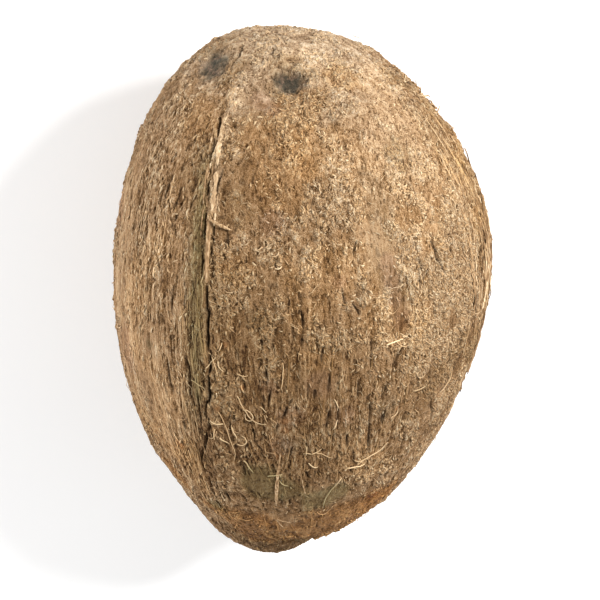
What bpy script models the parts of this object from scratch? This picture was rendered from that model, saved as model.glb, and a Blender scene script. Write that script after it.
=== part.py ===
"""A whole ripe coconut with its husk stripped off, lying on its side.

The nut grew as one piece, so it is one closed solid. Its shape comes from a UV
sphere whose points are moved by a formula: an egg-shaped profile that ends in a
blunt point, three rounded carpels that meet in three raised seams, a slight bow
to one side, and three shallow germination eyes round the stem end.

Nut frame: the long axis is +Z with the eyes on top. "Polar" is the angle from the
stem pole, 0 at the stem and 180 degrees at the point. "Azimuth" turns about the
axis. The last step turns the nut into the pose in which it lies at rest.
Row frame: metres, +Z up, +X towards the stem end, origin at the middle of the
bounding box's bottom face.
"""

import math

import bmesh
import bpy
from mathutils import Matrix, Vector

# Driving dimensions, in metres
LENGTH = 0.150
WIDTH = 0.100

# Profile
EGG_MEAN = 0.955  # mean radius as a share of half the width, before the seams
EGG_SKEW = 0.080  # how much fuller the stem half is than the pointed half
SEAM_BULGE = {"front": 0.076, "side": 0.080, "back": 0.055}
SEAM_ROUNDNESS = 3.0  # higher is a narrower bulge
BOW = 0.0062  # how far the waist leans away from the line between the poles
POINT_LENGTH = 0.0060  # the blunt point stands this far past the egg
POINT_SPREAD = 0.0215  # radius at which the point starts

# Seams: azimuths are whole segments, so that a row of points follows each one
SEAM_AZIMUTH = {"front": -27.0, "side": 90.0, "back": -126.0}
SEAM_HEIGHT = 0.0009
SEAM_WIDTH = 0.0026

# Eyes: (polar angle, azimuth, radius, depth), two beside the front seam and one behind
EYES = [
    (math.radians(22.0), math.radians(-55.0), 0.0050, 0.0022),
    (math.radians(23.5), math.radians(6.0), 0.0048, 0.0024),
    (math.radians(23.0), math.radians(150.0), 0.0056, 0.0020),
]

# Mesh
SEGMENTS = 80  # round the axis
RINGS = 40  # from pole to pole
RING_CROWDING = 0.5  # rings are this much closer at the poles than evenly spread

# Rest: the nut lies on the flatter side that faces away from the front seam
REST_AZIMUTH = math.radians(172.5)
REST_PITCH = math.radians(5.5)  # how far the stem end is raised
FLAT_DEPTH = 0.0008  # thickness worn off where it lies


def crowded(v):
    """Polar angle of an even ring parameter, with rings drawn towards the poles."""
    return v - RING_CROWDING / 2 * math.sin(2 * v)


def seam_bulge(azimuth):
    """Share of the radius that the three rounded carpel edges add."""
    return sum(
        bulge * math.exp(SEAM_ROUNDNESS * (math.cos(azimuth - math.radians(SEAM_AZIMUTH[seam])) - 1))
        for seam, bulge in SEAM_BULGE.items()
    )


def seam_crest(azimuth, radius):
    """Height of the narrow raised line along each seam."""
    height = 0.0
    for seam_azimuth in SEAM_AZIMUTH.values():
        turn = math.remainder(azimuth - math.radians(seam_azimuth), 2 * math.pi)
        height += SEAM_HEIGHT * math.exp(-((radius * turn / SEAM_WIDTH) ** 2))
    return height


def bare_point(polar, azimuth):
    """A point of the nut before its eyes are pressed in."""
    egg = WIDTH / 2 * math.sin(polar) * (EGG_MEAN + EGG_SKEW * math.cos(polar))
    radius = egg * (1 + seam_bulge(azimuth))
    radius += seam_crest(azimuth, egg) * math.sin(polar)
    height = (LENGTH - POINT_LENGTH) / 2 * math.cos(polar)
    if polar > math.pi / 2:
        height -= POINT_LENGTH * max(0.0, 1 - egg / POINT_SPREAD) ** 2
    lean = BOW * math.sin(polar)
    return Vector((
        radius * math.sin(azimuth) + lean,
        -radius * math.cos(azimuth),
        height,
    ))


def pressed(point):
    """The same point after the eyes' hollows."""
    for polar, azimuth, radius, depth in EYES:
        centre = bare_point(polar, azimuth)
        away = (point - centre).length / radius
        point = point - centre.normalized() * depth * math.exp(-(away**2))
    return point


def nut_mesh():
    """The nut in its own frame, as a bmesh."""
    mesh = bmesh.new()
    bmesh.ops.create_uvsphere(mesh, u_segments=SEGMENTS, v_segments=RINGS, radius=1.0)
    for vertex in mesh.verts:
        polar = crowded(math.acos(max(-1.0, min(1.0, vertex.co.z))))
        azimuth = math.atan2(vertex.co.x, -vertex.co.y)
        vertex.co = pressed(bare_point(polar, azimuth))
    return mesh


def rest_turn():
    """Rotation from the nut's own frame to the pose in which it lies."""
    face_down = Matrix.Rotation(math.pi - REST_AZIMUTH, 3, "Z")  # the rest side turns to +Y
    lay = Matrix.Rotation(math.pi / 2, 3, "Y")  # the stem end turns to +X
    roll = Matrix.Rotation(math.pi / 2, 3, "X")
    pitch = Matrix.Rotation(-REST_PITCH, 3, "Y")
    return pitch @ roll.inverted() @ lay @ face_down


def wear_flat(mesh):
    """Cuts the small flat spot under the nut and closes it with one face."""
    lowest = min(vertex.co.z for vertex in mesh.verts)
    everything = mesh.verts[:] + mesh.edges[:] + mesh.faces[:]
    cut = bmesh.ops.bisect_plane(
        mesh,
        geom=everything,
        plane_co=(0, 0, lowest + FLAT_DEPTH),
        plane_no=(0, 0, -1),
        clear_outer=True,
    )
    rim = [piece for piece in cut["geom_cut"] if isinstance(piece, bmesh.types.BMEdge)]
    bmesh.ops.holes_fill(mesh, edges=rim, sides=len(rim))


def stand_on_origin(mesh):
    """Moves the middle of the bounding box's bottom face to the origin."""
    low = Vector(min(vertex.co[axis] for vertex in mesh.verts) for axis in range(3))
    high = Vector(max(vertex.co[axis] for vertex in mesh.verts) for axis in range(3))
    middle = (low + high) / 2
    bmesh.ops.translate(mesh, verts=mesh.verts, vec=(-middle.x, -middle.y, -low.z))


def husk_material():
    material = bpy.data.materials.new("dry_husk")
    material.use_nodes = True
    shader = material.node_tree.nodes["Principled BSDF"]
    shader.inputs["Base Color"].default_value = (0.38, 0.24, 0.13, 1.0)
    shader.inputs["Roughness"].default_value = 0.9
    shader.inputs["Metallic"].default_value = 0.0
    return material


def build():
    for old in list(bpy.data.objects):
        bpy.data.objects.remove(old)
    mesh = nut_mesh()
    bmesh.ops.rotate(mesh, verts=mesh.verts, cent=(0, 0, 0), matrix=rest_turn())
    wear_flat(mesh)
    stand_on_origin(mesh)
    bmesh.ops.recalc_face_normals(mesh, faces=mesh.faces)
    data = bpy.data.meshes.new("coconut")
    mesh.to_mesh(data)
    mesh.free()
    data.shade_smooth()
    data.materials.append(husk_material())
    coconut = bpy.data.objects.new("coconut", data)
    group = bpy.data.collections.new("coconut")
    bpy.context.scene.collection.children.link(group)
    group.objects.link(coconut)
    return coconut


build()
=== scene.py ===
import itertools
import math

import bpy
import numpy as np
from mathutils import Matrix, Vector
from mathutils.bvhtree import BVHTree


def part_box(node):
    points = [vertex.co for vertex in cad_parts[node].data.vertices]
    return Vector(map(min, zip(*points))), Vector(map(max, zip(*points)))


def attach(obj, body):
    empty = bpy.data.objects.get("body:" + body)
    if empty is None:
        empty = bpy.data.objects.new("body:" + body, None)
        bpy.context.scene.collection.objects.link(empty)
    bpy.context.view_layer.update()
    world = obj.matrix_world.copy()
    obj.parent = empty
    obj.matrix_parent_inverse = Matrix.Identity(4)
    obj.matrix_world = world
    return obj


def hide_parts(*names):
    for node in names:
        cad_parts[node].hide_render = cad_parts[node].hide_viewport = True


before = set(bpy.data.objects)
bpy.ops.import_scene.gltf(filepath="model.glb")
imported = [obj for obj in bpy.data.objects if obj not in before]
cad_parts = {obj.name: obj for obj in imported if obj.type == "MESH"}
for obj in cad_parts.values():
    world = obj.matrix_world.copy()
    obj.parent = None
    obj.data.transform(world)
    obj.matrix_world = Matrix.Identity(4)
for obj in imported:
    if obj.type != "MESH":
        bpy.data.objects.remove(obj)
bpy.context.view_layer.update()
print("frame loaded")


# How the nut lies, in degrees, as in the CAD: its stem end is raised and its front is turned off the top.
# Azimuth runs round the axis from the front, polar from the stem end; both are seen from its middle.
lie = {"raised": 5.5, "turned": 7.5}
raised, turned = math.radians(lie["raised"]), math.radians(lie["turned"])
stem = np.array((math.cos(raised), 0, math.sin(raised)))
crown = np.array((-math.sin(raised), 0, math.cos(raised)))  # square to the axis, upwards
beside = np.array((0, -1, 0))
front = crown * math.cos(turned) + beside * math.sin(turned)
right = beside * math.cos(turned) - crown * math.sin(turned)
nutAxes = np.stack((right, -front, stem))
nutLow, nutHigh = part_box("coconut")
middle = np.array((nutLow + nutHigh) / 2)
floorGap = 0.0003  # what lies on the floor stays this far above it


def unit(vectors):
    return vectors / np.linalg.norm(vectors, axis=-1, keepdims=True)


def smooth(value, low, high):
    share = np.clip((value - low) / (high - low), 0, 1)
    return share * share * (3 - 2 * share)


def directions(azimuth, polar):
    a, p = np.radians(azimuth), np.radians(polar)
    local = np.stack((np.sin(p) * np.sin(a), -np.sin(p) * np.cos(a), np.cos(p)), -1)
    return local @ nutAxes


def angles(away):
    local = away @ nutAxes.T
    azimuth = np.degrees(np.arctan2(local[..., 0], -local[..., 1]))
    polar = np.degrees(np.arccos(np.clip(local[..., 2], -1, 1)))
    return azimuth, polar


# The CAD nut's radius, measured once by rays from its middle and rounded off a little between its facets
skin = {"columns": 360, "rows": 181, "rounding": 5}


def measureSkin():
    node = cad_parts["coconut"]
    corners = [vertex.co for vertex in node.data.vertices]
    tree = BVHTree.FromPolygons(corners, [face.vertices[:] for face in node.data.polygons])
    azimuth = np.arange(skin["columns"]) * 360 / skin["columns"]
    table = np.zeros((skin["rows"], skin["columns"]))
    start = Vector(middle)
    for row, polar in enumerate(np.linspace(0, 180, skin["rows"])):
        for column, away in enumerate(directions(azimuth, np.full_like(azimuth, polar))):
            table[row, column] = tree.ray_cast(start, Vector(away))[3]
    for _ in range(skin["rounding"]):
        table = (np.roll(table, 1, 1) + 2 * table + np.roll(table, -1, 1)) / 4
        padded = np.pad(table, ((1, 1), (0, 0)), "edge")
        table = (padded[:-2] + 2 * table + padded[2:]) / 4
    return table


skinTable = measureSkin()


def skinRadius(away):
    azimuth, polar = angles(away)
    column = azimuth % 360 * skin["columns"] / 360
    row = np.clip(polar, 0, 179.99) * (skin["rows"] - 1) / 180
    leftColumn, upperRow = column.astype(int), row.astype(int)
    acrossShare, downShare = column - leftColumn, row - upperRow
    leftColumn = leftColumn % skin["columns"]
    nextColumn = (leftColumn + 1) % skin["columns"]

    def across(level):
        return skinTable[level, leftColumn] * (1 - acrossShare) + skinTable[level, nextColumn] * acrossShare

    return across(upperRow) * (1 - downShare) + across(upperRow + 1) * downShare


def skinPoint(away):
    return middle + away * skinRadius(away)[..., None]


def skinNormal(away, step=0.02):
    helper = np.where(np.abs(away @ stem)[..., None] < 0.9, stem, right)
    sideways = unit(np.cross(helper, away))
    onward = np.cross(away, sideways)
    here = skinPoint(away)
    one = skinPoint(unit(away + sideways * step)) - here
    other = skinPoint(unit(away + onward * step)) - here
    return unit(np.cross(one, other))


def nutPlace(points):
    return (points - middle) @ nutAxes.T * 1000  # millimetres, in the nut's own axes


def spot(azimuth, polar):
    away = directions(np.array([azimuth], float), np.array([polar], float))
    return nutPlace(skinPoint(away))[0]


def near(place, azimuth, polar, reach, share=1):
    return np.exp(-np.sum((place - spot(azimuth, polar)) ** 2, axis=1) / reach ** 2) * share


def nearAny(place, spots):
    # spots are rows of azimuth, polar, reach in millimetres and, if it isn't 1, share
    return sum(near(place, *one) for one in spots)


print("skin measured")

# Smooth random values, mostly from -1 to 1; size is that of one feature, in millimetres
slopes = np.random.default_rng(11).uniform(-1, 1, (4096, 3))


def noise(place, size, seed):
    where = place / np.array(size) + seed * 17.31
    cell = np.floor(where)
    inside = where - cell
    fade = inside ** 3 * (inside * (inside * 6 - 15) + 10)
    cell = cell.astype(np.int64)
    total = np.zeros(len(place))
    for corner in itertools.product((0, 1), repeat=3):
        key = (cell + corner) @ np.array((73856093, 19349663, 83492791))
        key = (key ^ (key >> 13)) * 1274126177
        slope = slopes[(key ^ (key >> 16)) & 4095]
        weight = np.prod(np.where(np.array(corner) == 1, fade, 1 - fade), axis=1)
        total += weight * np.sum(slope * (inside - corner), axis=1)
    return total * 2.0


# The front seam runs nearly straight past the waist and bends away towards both ends
seamLine = {"azimuth": -27, "straightAt": 72, "bend": 8.5, "over": 50, "power": 2.6, "most": 1.1}


def seamAzimuth(polar):
    share = np.abs(polar - seamLine["straightAt"]) / seamLine["over"]
    return seamLine["azimuth"] - seamLine["bend"] * np.minimum(share ** seamLine["power"], seamLine["most"])


def besideSeam(place, azimuth, polar):
    turn = np.radians(azimuth - seamAzimuth(polar))
    return np.hypot(place[:, 0], place[:, 1]) * turn  # millimetres, positive on the right


def faded(polar, band):
    # 1 in the middle of a band along the nut, 0 beyond its two ends
    return smooth(polar, *band["fadeIn"]) * smooth(polar, *band["fadeOut"])


# The ragged pale strip that stands along the upper front seam: half width and raggedness in millimetres
paleStrip = {"half": 1.25, "wander": 0.9, "ragged": 0.5, "fadeIn": (18, 24), "fadeOut": (50, 40)}


def seamStrip(place, azimuth, polar):
    wander = noise(place, (3, 3, 9), 15) * paleStrip["wander"]
    aside = np.abs(besideSeam(place, azimuth, polar) + wander)
    ragged = noise(place, (1.3, 1.3, 4), 16) * paleStrip["ragged"]
    return smooth(paleStrip["half"] + ragged - aside, 0, 0.5) * faded(polar, paleStrip)


# Bands of colour along the front seam: how far aside and how wide in millimetres, and where they fade
seamBands = {
    "pale": {"aside": 1.5, "width": 2.6, "fadeIn": (-1, 0), "fadeOut": (27, 21)},
    "stained": {"aside": -3.6, "width": 2.6, "fadeIn": (30, 42), "fadeOut": (114, 90)},
    # The darker band left of the seam is partly soiled husk and partly painted shade
    "soiledAndShaded": {"aside": -2, "width": 5, "fadeIn": (24, 45), "fadeOut": (140, 108)},
}


def seamBand(name, aside, polar):
    band = seamBands[name]
    return np.exp(-((aside - band["aside"]) / band["width"]) ** 2) * faded(polar, band)


# Coloured regions of the husk: (azimuth, polar, reach in millimetres)
patches = {
    "ember": [
        (45, 148, 6), (-38, 117, 4), (-40, 128, 6), (-66, 122, 6), (-46, 126, 5), (-42, 136, 5), (8, 22, 5),
        (0, 18, 4), (34, 14.5, 5), (-67, 114, 6), (-10, 28, 9), (-5, 38, 9), (-52, 28, 7), (50, 14, 4),
        (-20, 58, 6), (120, 50, 14), (-160, 80, 16),
    ],
    "copper": [
        (36, 144, 2.5), (-4.5, 104.5, 0.9), (-4.5, 108.5, 0.9), (-22.5, 79.5, 0.9), (-17.5, 93, 1.0),
        (-26, 101, 1.0), (-7, 119, 1.2), (34, 107, 0.9), (-45, 120, 1.6), (150, 70, 2.5),
    ],
    # Dark green-grey marks beside the front seam: stain, and next to the seam straw partly its painted
    # shadow
    "moss": [
        (-31.3, 47.5, 1.5), (-31.8, 51, 1.6), (-31.5, 55, 1.5), (-32, 98, 1.6), (-33, 112, 1.4),
        (-35, 123, 1.4),
    ],
    "stain": [
        (-51, 87, 2.3), (-17, 129, 6), (-7, 133, 5.5), (7, 139, 4.5), (15, 137, 4), (-40, 142, 4),
        (150, 120, 12), (-100, 125, 9),
    ],
    "plum": [
        (6, 92, 4), (-3, 103, 3.5), (15, 105, 4), (-9.5, 92, 3), (-8, 46, 4), (30, 58, 3), (31, 63, 2.2),
        (32, 69, 2.4), (33.5, 75, 2.2), (-51, 87, 3), (-6.5, 115, 4), (160, 60, 10), (-150, 100, 8),
    ],
    "grey": [
        (28, 37, 4), (31, 44, 4.5), (29, 51, 4.5), (28, 57, 4), (31, 64, 4), (36, 67, 4), (-3, 115, 3.5),
        (30, 105, 4), (-150, 50, 14), (140, 90, 12),
    ],
    "ashen": [(-86, 20, 3.0), (4, 10, 2.4), (166, 22, 3)],
    "rust": [
        (-5, 158, 12), (25, 154, 10), (40, 147.5, 8), (-27, 148, 7), (-30, 158, 6), (-43, 146, 6),
        (-60, 135, 6), (180, 150, 14),
    ],
    "rosy": [(-21, 20, 3.5), (-12, 22, 2.5), (-70, 95, 8), (13, 61, 3), (-90, 60, 8)],
    "shaded": [
        (-17, 10, 4), (19, 12, 3.5), (-15, 16, 4), (-22, 41.5, 4), (-19, 46.5, 4.5), (47, 34.5, 5),
        (71, 95, 6), (-100, 15.5, 7), (-43, 41, 5), (-56, 16.5, 5), (61, 120, 6), (43, 110.5, 5),
        (-38, 165, 6), (-6, 9, 3), (-50, 159, 7), (60, 97, 7), (-87, 48, 8), (-87, 28, 5), (93, 23.5, 5),
        (-12, 70, 4), (48, 101, 5),
    ],
    # Lightened spots: partly paler, bleached husk and partly painted light, lifting places the lamps leave
    # darker, most at the upper right
    "bleached": [
        (-33, 21, 3), (22, 8, 8), (79, 20, 9), (52, 32, 12), (62, 44, 11), (-60, 76, 7), (-50, 58, 6),
        (-60, 92, 6), (27, 56, 6), (11, 56, 7), (4, 82, 5), (14, 61, 4), (31, 67, 5), (33, 75, 6),
        (37, 77, 6), (7.5, 33, 7), (31, 45.5, 5), (33, 39, 7), (44, 47, 5), (91, 44.5, 6), (9, 28, 5),
        (22, 30, 5), (28, 40, 5), (6, 66, 5), (0, 71, 4), (34, 66, 5), (26, 73, 5), (44, 149, 7),
        (-57, 68, 5), (36, 70, 5), (79, 60, 6), (0, 60, 4), (-18, 147, 5), (49, 54, 5), (-45, 94, 7),
        (-77, 21.5, 4), (34.5, 75, 6), (-46, 106, 6), (-50, 121, 9), (31, 131, 7), (18, 121, 7),
        (130, 75, 12), (-130, 90, 9),
    ],
}

# Regions that follow the seams or cover a whole end, and how strongly they colour the husk
cover = {
    "cap": {"edge": (27, 13), "ragged": 9, "fine": 5, "band": 1.3, "strip": 0.6, "tongue": (52, 30, 14)},
    "stained": 1.15,
    # Darker towards the lower front, in a band left of the seam and in a few spots: painted shade, partly
    # soiled husk
    "dim": {"low": 1.15, "soiledAndShaded": 0.65, "most": 1.3,
            "spots": [(170, 110, 30, 0.8), (-80, 13, 6, 0.35), (-43, 34, 6, 0.45)]},
    "gold": {"sides": [(86, 13), (-128, 10)], "fadeIn": (24, 34), "fadeOut": (125, 100),
             "point": (-25, 170, 13, 0.7)},
}


def regions(place, azimuth, polar):
    # how strongly each coloured region shows at each point
    blur = noise(place, (9, 9, 12), 21) * 0.6 + noise(place, (4, 4, 6), 22) * 0.4
    found = {}
    for name, spots in patches.items():
        found[name] = smooth(nearAny(place, spots) + blur * 0.45, 0.25, 0.8)
    aside = besideSeam(place, azimuth, polar)
    cap, dim, gold = cover["cap"], cover["dim"], cover["gold"]
    ragged = blur * cap["ragged"] + noise(place, (1.6, 1.6, 2.4), 23) * cap["fine"]
    found["cap"] = np.max((
        smooth(polar + ragged, *cap["edge"]) * (1 - found["ember"] * 0.7),
        seamBand("pale", aside, polar) * cap["band"],
        seamStrip(place, azimuth, polar) * cap["strip"],
        near(place, *cap["tongue"]) * (0.65 + blur * 0.5),
    ), axis=0)
    stained = seamBand("stained", aside, polar) * (cover["stained"] + blur)
    found["stain"] = np.clip(found["stain"] + stained, 0, 1)
    # Painted shade over the lower front, where less light reaches, and a darker band left of the seam,
    # partly soiled husk
    low = near(place, -8, 108, 34) * smooth(aside, -2, 3) + near(place, -20, 78, 20, 0.45)
    soiledAndShaded = seamBand("soiledAndShaded", aside, polar)
    total = low * dim["low"] + soiledAndShaded * dim["soiledAndShaded"] + nearAny(place, dim["spots"])
    found["dim"] = np.clip(total + blur * 0.15, 0, dim["most"])
    sides = sum(np.exp(-((azimuth - middling) / spread) ** 2) for middling, spread in gold["sides"])
    found["gold"] = sides * faded(polar, gold) * (0.6 + blur * 0.6) + near(place, *gold["point"])
    return found


# How strongly the fibres are combed in each place
combs = {"leftFace": 0.68, "seamSide": 0.5, "lowFront": 0.85, "sideSeam": 0.9, "patchy": 0.5}


def combing(place, azimuth, polar):
    # 1 where the fibres lie combed along the nut, 0 where they are matted
    aside = besideSeam(place, azimuth, polar)
    leftFace = smooth(aside, -1, -5) * smooth(azimuth, -100, -85)
    seamSide = np.exp(-((aside + 2.5) / 3) ** 2)
    lowFront = near(place, 0, 112, 30)
    sideSeam = np.exp(-((azimuth - 82) / 12) ** 2)
    patchy = smooth(noise(place, (14, 14, 22), 31), 0.1, 0.6)
    total = leftFace * combs["leftFace"] + seamSide * combs["seamSide"] + lowFront * combs["lowFront"]
    total += sideSeam * combs["sideSeam"] + patchy * combs["patchy"]
    return np.clip(total, 0, 1) * smooth(polar, 18, 34)


# Cracks: (azimuth, polar, length, lean, width, depth); lean is in degrees off the nut's length, the rest in
# millimetres. The seam's own cracks get shallower from one polar on.
cracks = {
    "chosen": [
        (-39.5, 25, 7.3, 22, 0.32, 1.1), (-34.5, 31.5, 4, 5, 0.34, 1.2), (-32.6, 39, 5, 6, 0.26, 0.9),
        (-31, 46.5, 8, 6, 0.28, 1.1), (-30, 56, 7, 4, 0.30, 1.1), (-27.2, 48, 16, 0, 0.30, 1.2),
        (-36.5, 30, 9, 12, 0.26, 0.9), (-28.2, 36, 9, -2, 0.26, 0.8), (-34.5, 88, 12, -2, 0.36, 1.3),
        (-41, 66, 9, 4, 0.24, 0.9), (-31.5, 96, 14, -6, 0.28, 1.0), (-78.5, 10, 9, 59, 0.28, 0.9),
        (-40, 5, 5, 10, 0.3, 0.7), (49, 54.5, 4.8, 8, 0.28, 1.3), (50, 58.5, 4.2, 6, 0.36, 1.7),
        (50.6, 61.8, 5.4, 22, 0.28, 1.3), (58, 56.5, 3, 15, 0.24, 1.0), (59, 59, 4, -20, 0.24, 1.0),
        (64.5, 76, 10, 4, 0.34, 1.4), (42.5, 59, 6, 8, 0.24, 1.0), (42, 64.5, 4, -8, 0.26, 1.1),
        (91.5, 46.5, 12, -37, 0.4, 1.2), (82, 56, 12, -28, 0.45, 1.5), (75.5, 66.5, 11.5, -20, 0.45, 1.5),
        (71, 78, 14, -3, 0.42, 1.3), (82.5, 66, 11, -15, 0.34, 1.1), (80, 75, 9, -28, 0.34, 1.1),
        (47, 95, 9, 3, 0.26, 1.0), (50.5, 108.5, 9, 15, 0.24, 0.9), (56, 88, 8, 2, 0.26, 1.0),
        (34.5, 83.5, 13, -26, 0.34, 1.6), (28.5, 96, 5, -10, 0.30, 1.3), (29.5, 105.5, 5, -5, 0.45, 1.4),
        (23.5, 101, 9, 3, 0.34, 1.3), (24.3, 110, 12, 5, 0.36, 1.4), (19, 92.5, 6, 3, 0.34, 0.8),
        (0.8, 67.5, 6, 5, 0.28, 0.9), (1.4, 74, 20, -4, 0.26, 0.6), (7.4, 79, 5, -8, 0.30, 1.0),
        (5, 93.5, 3, 0, 0.4, 0.8), (-1.5, 95, 20, -25, 0.32, 1.1), (-9.5, 82, 18, 0, 0.34, 0.6),
        (31, 66, 12, 8, 0.5, 0.35), (-15, 33, 7, -8, 0.28, 0.5), (-12, 49, 9, -4, 0.28, 0.5),
        (14, 62, 6, 6, 0.3, 0.9), (17, 67, 4, 30, 0.3, 1.0), (-11, 76, 5, 0, 0.3, 0.6),
        (23, 78, 9, 0, 0.3, 0.7), (-50, 40, 14, 0, 0.3, 0.8), (-52, 66, 5, 0, 0.3, 0.8),
        (-60, 58, 8, 0, 0.3, 0.7), (-43, 88, 8, 0, 0.3, 0.9), (-47, 110, 12, -4, 0.3, 0.8),
        (10, 100, 14, -8, 0.3, 0.8), (16, 112, 12, 4, 0.3, 0.9), (-16, 104, 12, 8, 0.28, 0.7),
    ],
    "alongSeam": {
        "polars": (63, 142, 6), "length": 7.5, "astray": 0.45, "width": (0.22, 0.46), "depth": (1.2, 2.3),
        "shallower": 0.45, "shallowFrom": 90, "shallowOver": 50,
    },
    "scattered": {"count": 260, "length": (1.5, 7), "lean": 6, "width": (0.2, 0.3), "depth": (0.4, 0.9)},
}


def seamCracks():
    rows = []
    run = cracks["alongSeam"]
    step = run["polars"][2]
    dice = np.random.default_rng(9)
    for polar in range(*run["polars"]):
        azimuth, following = seamAzimuth(polar), seamAzimuth(polar + step)
        aside = (following - azimuth) * math.sin(math.radians(polar + step / 2))
        lean = math.degrees(math.atan2(aside, step))
        share = 1 - run["shallower"] * max(0, (polar - run["shallowFrom"]) / run["shallowOver"])
        width, depth = dice.uniform(*run["width"]) * share, dice.uniform(*run["depth"]) * share
        rows.append((azimuth + dice.normal(0, run["astray"]), polar, run["length"], lean, width, depth))
    return rows


def scatteredCracks():
    dice = np.random.default_rng(5)
    run = cracks["scattered"]
    count = run["count"]
    azimuth = dice.uniform(-180, 180, count)
    polar = np.degrees(np.arccos(dice.uniform(-0.9, 0.75, count)))
    length, width, depth = [dice.uniform(*run[name], count) for name in ("length", "width", "depth")]
    lean = dice.normal(0, run["lean"], count)
    return list(zip(azimuth, polar, length, lean, width, depth))


allCracks = cracks["chosen"] + seamCracks() + scatteredCracks()


def alongLine(place, azimuth, polar, length, lean, width):
    # the points close to a line on the husk, how near each lies, 1 on the line, and the line's taper there
    start = spot(azimuth, polar)
    turn = math.radians(lean)
    down = spot(azimuth, polar + 2) - start
    down /= np.linalg.norm(down)
    sideways = spot(azimuth + 2, polar) - start
    sideways /= np.linalg.norm(sideways)
    run = (down * math.cos(turn) + sideways * math.sin(turn)) * length
    close = np.linalg.norm(place - start - run / 2, axis=1) < length / 2 + 4 * width + 1
    offset = place[close] - start
    share = np.clip(offset @ run / (length * length), 0, 1)
    away = np.linalg.norm(offset - share[:, None] * run, axis=1)
    taper = np.sqrt(np.clip(4 * share * (1 - share), 0.04, 1))
    return close, np.exp(-(away / (width * taper)) ** 2), taper


def crackDepth(place):
    # how deep the cracks cut at each point, in millimetres, and how far inside one it is, less in shallow
    # cracks: this sets the painted shade inside cracks
    depth = np.zeros(len(place))
    inside = np.zeros(len(place))
    for azimuth, polar, length, lean, width, deep in allCracks:
        close, cut, taper = alongLine(place, azimuth, polar, length, lean, width)
        depth[close] = np.maximum(depth[close], cut * deep * taper)
        inside[close] = np.maximum(inside[close], cut * min(1, deep / 0.9))
    return depth, inside


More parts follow.
